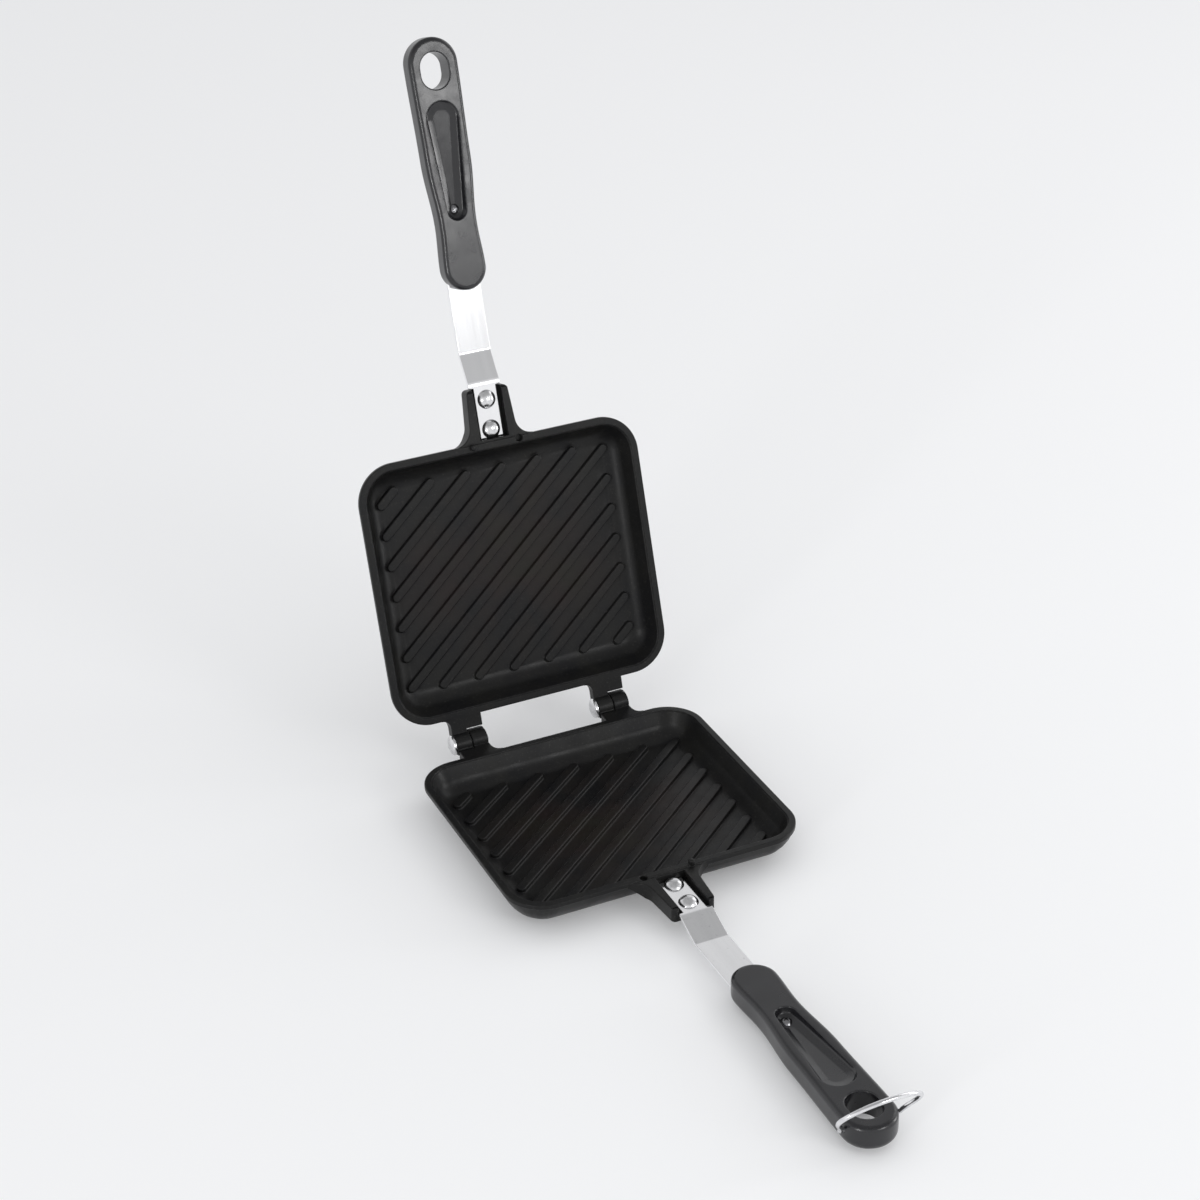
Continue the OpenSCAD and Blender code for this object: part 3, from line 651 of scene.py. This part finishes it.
def strap_steel():
    """Bright steel strip with fine rolling lines along it, duller in streaks."""
    material, nodes, links, skin = surface("strap_steel_finish")
    skin.inputs["Metallic"].default_value = 1
    coords = nodes.new("ShaderNodeTexCoord").outputs["Object"]
    along = nodes.new("ShaderNodeMapping")
    along.inputs["Scale"].default_value = (1, 0.012, 0.012)
    links.new(coords, along.inputs["Vector"])
    lines = noise(nodes, links, along.outputs[0], 2600, 3, 0.7)
    streaks = between(nodes, links, noise(nodes, links, along.outputs[0], 160, 2, 0.5), 0.3, 0.7)
    colour = blend(nodes, links, streaks, (0.84, 0.84, 0.85), (0.90, 0.90, 0.91))
    spots = between(nodes, links, noise(nodes, links, coords, 240, 4, 0.7), 0.62, 0.75, 0, 0.5)
    colour = blend(nodes, links, spots, (0.60, 0.60, 0.61), colour)
    links.new(colour, skin.inputs["Base Color"])
    links.new(between(nodes, links, lines, 0.3, 0.7, 0.09, 0.14), skin.inputs["Roughness"])
    normal = relief(nodes, links, lines, 0.00003, 0.12, rounded_edges(nodes, 0.0003))
    links.new(normal, skin.inputs["Normal"])
    return material


strap_finish = strap_steel()

strap_w = 16.2
seat_w = 11.6
strap_t = 1.6
strap_top = -3.9
tang_top = -9.4
tang_w = 10
strap_mid = strap_top - strap_t / 2
tang_z = tang_top - strap_t / 2
bend_slope = math.atan(5.5 / 14.3)
bend_r = 5
bend_x = bend_r * math.tan(bend_slope / 2)
first_bend = 27.7 - bend_x
second_bend = 42 + bend_x


def run_to(bar, edge, distance, z, width=None):
    """Draws the bar's end edge on to a distance beyond the rim and a height."""
    drawn = bmesh.ops.extrude_edge_only(bar, edges=[edge])["geom"]
    for vert in (v for v in drawn if isinstance(v, bmesh.types.BMVert)):
        across = vert.co.x if width is None else math.copysign(width / 2, vert.co.x)
        vert.co = (across, -rim_y - distance, z)
    return next(e for e in drawn if isinstance(e, bmesh.types.BMEdge))


def bend(bar, edge, distance, height, angle):
    """Bends the bar's end edge about a line at a distance beyond the rim and a height."""
    turned = bmesh.ops.spin(bar, geom=[edge, *edge.verts], cent=(0, -rim_y - distance, height),
                            axis=(1, 0, 0), angle=angle, steps=8)["geom_last"]
    return next(e for e in turned if isinstance(e, bmesh.types.BMEdge))


for half, place, body in halves:
    bar = bmesh.new()
    start = [bar.verts.new((x, -rim_y - 1.3, strap_mid)) for x in (-seat_w / 2, seat_w / 2)]
    edge = bar.edges.new(start)
    edge = run_to(bar, edge, bracket_l + 0.3, strap_mid)
    edge = run_to(bar, edge, bracket_l + 0.6, strap_mid, strap_w)
    edge = run_to(bar, edge, first_bend, strap_mid)
    edge = bend(bar, edge, first_bend, strap_mid - bend_r, bend_slope)
    edge = run_to(bar, edge, second_bend - bend_r * math.sin(bend_slope),
                  tang_z + bend_r * (1 - math.cos(bend_slope)))
    edge = bend(bar, edge, second_bend, tang_z + bend_r, -bend_slope)
    edge = run_to(bar, edge, 77, tang_z)
    edge = run_to(bar, edge, 77.6, tang_z, tang_w)
    edge = run_to(bar, edge, 115.5, tang_z)
    bmesh.ops.remove_doubles(bar, verts=bar.verts, dist=0.001)
    bmesh.ops.recalc_face_normals(bar, faces=bar.faces)
    bmesh.ops.solidify(bar, geom=bar.faces[:], thickness=strap_t)
    outwards(bar)
    seat = [v.co.z for v in bar.verts if v.co.y > -rim_y - 20]
    bmesh.ops.translate(bar, vec=(0, 0, strap_mid - sum(seat) / len(seat)), verts=bar.verts)
    soft_edges(bar, sharp_edges_of(bar, 50), 0.3, 3)
    strap = as_object(bar, half + "_bar", place)
    bar.free()
    strap.data.materials.append(strap_finish)
    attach(strap, body)
    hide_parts(half + "_strap")

# ---- Rivets ----
# Two solid rivets hold each strap to its bracket, with a dome over the strap and a low
# closed head under the bracket.

rivet_head_r = 4.6
rivet_head_h = 2.8
dome_r = (rivet_head_r ** 2 + rivet_head_h ** 2) / (2 * rivet_head_h)
closed_head = [(0, -10.1), (1.6, -10.05), (2.6, -9.7), (3.3, -9.1), (3.7, bracket_low)]
rivet_profile = closed_head + [(2, bracket_low), (2, strap_top), (4.5, strap_top)]
for i in range(11):
    z = 2.7 * i / 11
    dome_ring = math.sqrt(dome_r ** 2 - (z + dome_r - rivet_head_h) ** 2)
    rivet_profile.append((dome_ring, strap_top + 0.1 + z))
rivet_profile.append((0, strap_top + rivet_head_h))
for half, place, body in halves:
    for seat, distance in (("front", 5.2), ("rear", 19.7)):
        at = place @ Matrix.Translation((0, -rim_y - distance, 0))
        rivet = as_object(lathe(rivet_profile, at, 40), half + "_" + seat + "_stud")
        rivet.data.materials.append(bright_finish)
        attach(rivet, body)
        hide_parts(half + "_" + seat + "_rivet")

# ---- Handles ----
# Two moulded black plastic grips, each with a waist behind its nose, a thumb hollow that
# deepens towards the screw and a hang hole. The tang slides in from the nose.

handle_y = rim_y + 72.5
handle_l = 118.5
handle_in = -2.5
handle_t = 12
nose_r = 10.4
waist_r = 9.4
waist_at = 31
swell_r = 11.5
swell_at = 62
butt_r = 12.2
inner_round = 2.2
outer_round = 4
screw_y = handle_y + 38
loop_y = handle_y + handle_l - 11
loop_z = -7.7
hang_y = handle_y + handle_l - 15.5
hollow_deep = 4.6
hollow_shallow = 1.8


def ease(t):
    return (1 - math.cos(math.pi * min(max(t, 0), 1))) / 2


def grip_half_width(h):
    """Half the grip's width between its round ends, at a distance from the nose."""
    if h < waist_at:
        return nose_r + (waist_r - nose_r) * ease((h - nose_r) / (waist_at - nose_r))
    swell = (swell_r - waist_r) * ease((h - waist_at) / (swell_at - waist_at))
    return waist_r + swell + (butt_r - swell_r) * ease((h - swell_at) / (handle_l - butt_r - swell_at))


def arc(centre_d, radius, start, end, steps):
    """Points of an arc as (x, distance), from angle start to angle end in degrees."""
    turns = [math.radians(start + (end - start) * i / steps) for i in range(steps + 1)]
    return [(radius * math.cos(a), centre_d + radius * math.sin(a)) for a in turns]


def outline_face(bm, points, base_y, z):
    return bm.faces.new([bm.verts.new((x, -base_y - d, z)) for x, d in points])


def grip(loop_holes):
    """One grip in the casting's frame, in millimetres."""
    bm = bmesh.new()
    flank_l = handle_l - nose_r - butt_r
    flank = [nose_r + flank_l * i / 40 for i in range(1, 40)]
    right = (arc(nose_r, nose_r, -90, 0, 14) + [(grip_half_width(h), h) for h in flank]
             + arc(handle_l - butt_r, butt_r, 0, 90, 14))
    points = right + [(-x, d) for x, d in reversed(right[1:-1])]
    outline_face(bm, points, handle_y, handle_in - handle_t + outer_round)
    thicken(bm, bm.faces[:][0], handle_t - outer_round - inner_round)
    outwards(bm)
    inner = max(bm.faces, key=lambda f: f.calc_center_median().z)
    outer = min(bm.faces, key=lambda f: f.calc_center_median().z)
    step_in(bm, inner, round_steps(inner_round, 6))
    step_in(bm, outer, round_steps(outer_round, 9))

    tools = []
    narrow_r = 4.7
    wide_r = 8
    hollow_l = 43
    lean = math.degrees(math.asin((wide_r - narrow_r) / hollow_l))
    hollow = bmesh.new()
    points = (arc(0, narrow_r + 0.5, 180 + lean, 360 - lean, 16)
              + arc(hollow_l, wide_r + 0.5, -lean, 180 + lean, 24))
    outline_face(hollow, points, screw_y, 2)
    thicken(hollow, hollow.faces[:][0], handle_in - 2)
    outwards(hollow)
    floor = min(hollow.faces, key=lambda f: f.calc_center_median().z)
    bowl = [(0.3, 1.25), (0.35, 0.9), (0.4, 0.6), (2.7, 1.25), (0.4, 0.1)]
    step_in(hollow, floor, round_steps(0.5, 4, convex=False) + bowl)
    for vert in hollow.verts:
        along = (-vert.co.y - screw_y) / hollow_l
        if vert.co.z < handle_in:
            share = 1 + (hollow_shallow / hollow_deep - 1) * min(max(along, 0), 1.2)
            vert.co.z = handle_in + (vert.co.z - handle_in) * share
    tools.append(hollow)

    hole = bmesh.new()
    mouth = rounded_plate(hole, 14 + 1.2, 17.2 + 1.2, 7.6, 14, z=2)
    thicken(hole, mouth, handle_in - 2)
    outwards(hole)
    mouth = min(hole.faces, key=lambda f: f.calc_center_median().z)
    step_in(hole, mouth, round_steps(0.6, 4, convex=False) + [(0.02, handle_t / 2 - 0.6)])
    middle = Vector((0, 0, handle_in - handle_t / 2))
    bmesh.ops.delete(hole, geom=[mouth], context="FACES")
    bmesh.ops.mirror(hole, geom=hole.verts[:] + hole.edges[:] + hole.faces[:],
                     matrix=Matrix.Translation(-middle), merge_dist=0.01, axis="Z")
    bmesh.ops.translate(hole, vec=(0, -hang_y, 0), verts=hole.verts)
    tools.append(hole)

    slot_low = tang_top - strap_t - 0.1
    slot_high = tang_top + 0.1
    slot_half_w = strap_w / 2 + 0.1
    tools.append(block((-slot_half_w, -handle_y - 5.1, slot_low),
                       (slot_half_w, -handle_y + 2, slot_high)))
    bore = [(0, -13), (1.85, -13), (1.85, -7), (0, -7)]
    tools.append(lathe(bore, Matrix.Translation((0, -screw_y, 0)), 24))
    if loop_holes:
        blind = [(0, 0), (1.13, 0), (1.13, 2.9), (1.5, 3.25), (1.5, 6), (0, 6)]
        for turn in (math.pi / 2, -math.pi / 2):
            reach = Matrix.Rotation(turn, 4, "Y") @ Matrix.Translation((0, 0, butt_r - 3.2))
            tools.append(lathe(blind, Matrix.Translation((0, -loop_y, loop_z)) @ reach, 24))
    return joined(bm, tools, "DIFFERENCE")


def grip_plastic():
    """Glossy black phenolic: flow clouds, a faint mould grain and handling scratches."""
    material, nodes, links, skin = surface("grip_plastic_finish")
    skin.inputs["Specular IOR Level"].default_value = 0.6
    coords = nodes.new("ShaderNodeTexCoord").outputs["Object"]
    clouds = between(nodes, links, noise(nodes, links, coords, 60, 4, 0.6), 0.35, 0.7)
    colour = blend(nodes, links, clouds, (0.013, 0.013, 0.0155), (0.008, 0.008, 0.0095))
    dust = between(nodes, links, noise(nodes, links, coords, 1800, 2, 0.7), 0.66, 0.76, 0, 0.6)
    colour = blend(nodes, links, dust, (0.045, 0.045, 0.048), colour)
    links.new(colour, skin.inputs["Base Color"])
    gloss = between(nodes, links, noise(nodes, links, coords, 120, 4, 0.6), 0.3, 0.7, 0.17, 0.30)
    links.new(gloss, skin.inputs["Roughness"])
    waves = noise(nodes, links, coords, 75, 2, 0.5)
    grain = noise(nodes, links, coords, 1900, 2, 0.6)
    normal = relief(nodes, links, waves, 0.0006, 0.12, rounded_edges(nodes, 0.0004))
    normal = relief(nodes, links, grain, 0.00003, 0.3, normal)
    links.new(normal, skin.inputs["Normal"])
    return material


grip_finish = grip_plastic()

for half, place, body in halves:
    grip_bm = grip(half == "lower")
    handle = as_object(grip_bm, half + "_grip", place)
    grip_bm.free()
    handle.data.materials.append(grip_finish)
    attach(handle, body)
    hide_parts(half + "_handle")

# ---- Handle screws ----
# One pan-head screw in each hollow, driven through the tang, with a crossed recess.

# The screw heads are given dark grey steel, much darker than the pins and rivets.
dark_screw_steel = bright_steel("dark_grey_screw_steel", (0.16, 0.16, 0.165), (0.30, 0.30, 0.31))

screw_r = 2.9
screw_h = 1.9
screw_seat = -7.1
screw_ball_r = (screw_r ** 2 + screw_h ** 2) / (2 * screw_h)
screw_profile = [(0, -5.8), (1.3, -5.8), (1.75, -5.2), (1.75, 0)]
screw_profile += [(screw_r - 0.15, 0), (screw_r, 0.15)]
for i in range(1, 12):
    z = 0.15 + (screw_h - 0.15) * i / 12
    screw_profile.append((math.sqrt(screw_ball_r ** 2 - (z + screw_ball_r - screw_h) ** 2), z))
screw_profile.append((0, screw_h))
for half, place, body in halves:
    head = lathe(screw_profile, Matrix.Identity(4), 40)
    slots = [block((-1.8, -0.45, 1), (1.8, 0.45, 3)), block((-0.45, -1.8, 1), (0.45, 1.8, 3))]
    for vert in slots[0].verts[:] + slots[1].verts[:]:
        if vert.co.z < 1.5:
            vert.co.x *= 0.6
            vert.co.y *= 0.6
    head = joined(head, slots, "DIFFERENCE")
    at = place @ Matrix.Translation((0, -screw_y, screw_seat)) @ Matrix.Rotation(0.4, 4, "Z")
    screw = as_object(head, half + "_screw", at)
    head.free()
    screw.data.materials.append(dark_screw_steel)
    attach(screw, body)
    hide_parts(half + "_handle_screw")

# ---- Lock loop ----
# One length of round bright wire, bent to a bow whose ends spring into the sides of the
# lower grip. It swings over the end of the upper grip to hold the iron closed.

wire_r = 1.05
loop_angle = math.radians(57)
flank_x = butt_r
elbow_r = 1.8
wide_x = 18.4
wide_s = 14
loop_l = 24.98


def bezier(a, b, c, d, t):
    return [(1 - t) ** 3 * p + 3 * t * (1 - t) ** 2 * q + 3 * t * t * (1 - t) * r + t ** 3 * w
            for p, q, r, w in zip(a, b, c, d)]


elbow = [(flank_x + elbow_r * math.sin(a), elbow_r * (1 - math.cos(a)))
         for a in [math.pi / 2 * i / 8 for i in range(9)]]
arm = (flank_x + elbow_r, elbow_r)
spread = [bezier(arm, (arm[0], arm[1] + 4), (wide_x, wide_s - 5), (wide_x, wide_s), i / 14)
          for i in range(1, 14)]
bow = [(wide_x * math.cos(a), wide_s + (loop_l - wide_s) * math.sin(a))
       for a in [math.pi / 2 * i / 24 for i in range(25)]]
right = [(9.3, 0), (10.7, 0)] + elbow + spread + bow
path = right + [(-x, s) for x, s in reversed(right[:-1])]
wire_curve = bpy.data.curves.new("wire", "CURVE")
wire_curve.dimensions = "3D"
wire_curve.bevel_depth = wire_r
wire_curve.bevel_resolution = 5
wire_curve.use_fill_caps = True
spline = wire_curve.splines.new("POLY")
spline.points.add(len(path) - 1)
for point, (x, s) in zip(spline.points, path):
    point.co = (x, -s, 0, 1)
wire_object = bpy.data.objects.new("wire", wire_curve)
bpy.context.scene.collection.objects.link(wire_object)
bpy.context.view_layer.update()
wire = bmesh.new()
wire.from_mesh(wire_object.evaluated_get(bpy.context.evaluated_depsgraph_get()).to_mesh())
bpy.data.objects.remove(wire_object)
outwards(wire)


def drawn_wire():
    """Plated wire with a mirror finish, dulled where it rubs."""
    material, nodes, links, skin = surface("drawn_wire_finish")
    skin.inputs["Metallic"].default_value = 1
    coords = nodes.new("ShaderNodeTexCoord").outputs["Object"]
    clouds = between(nodes, links, noise(nodes, links, coords, 300, 3, 0.6), 0.35, 0.7)
    colour = blend(nodes, links, clouds, (0.68, 0.68, 0.70), (0.84, 0.84, 0.85))
    links.new(colour, skin.inputs["Base Color"])
    polish = between(nodes, links, noise(nodes, links, coords, 500, 3, 0.6), 0.3, 0.7, 0.08, 0.22)
    links.new(polish, skin.inputs["Roughness"])
    normal = relief(nodes, links, noise(nodes, links, coords, 900, 2, 0.6), 0.00003, 0.2)
    links.new(normal, skin.inputs["Normal"])
    return material


at = lower_half @ Matrix.Translation((0, -loop_y, loop_z)) @ Matrix.Rotation(-loop_angle, 4, "X")
loop = as_object(wire, "wire_bow", at, 50)
wire.free()
loop.data.materials.append(drawn_wire())
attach(loop, "wire_loop")
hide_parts("lock_loop")
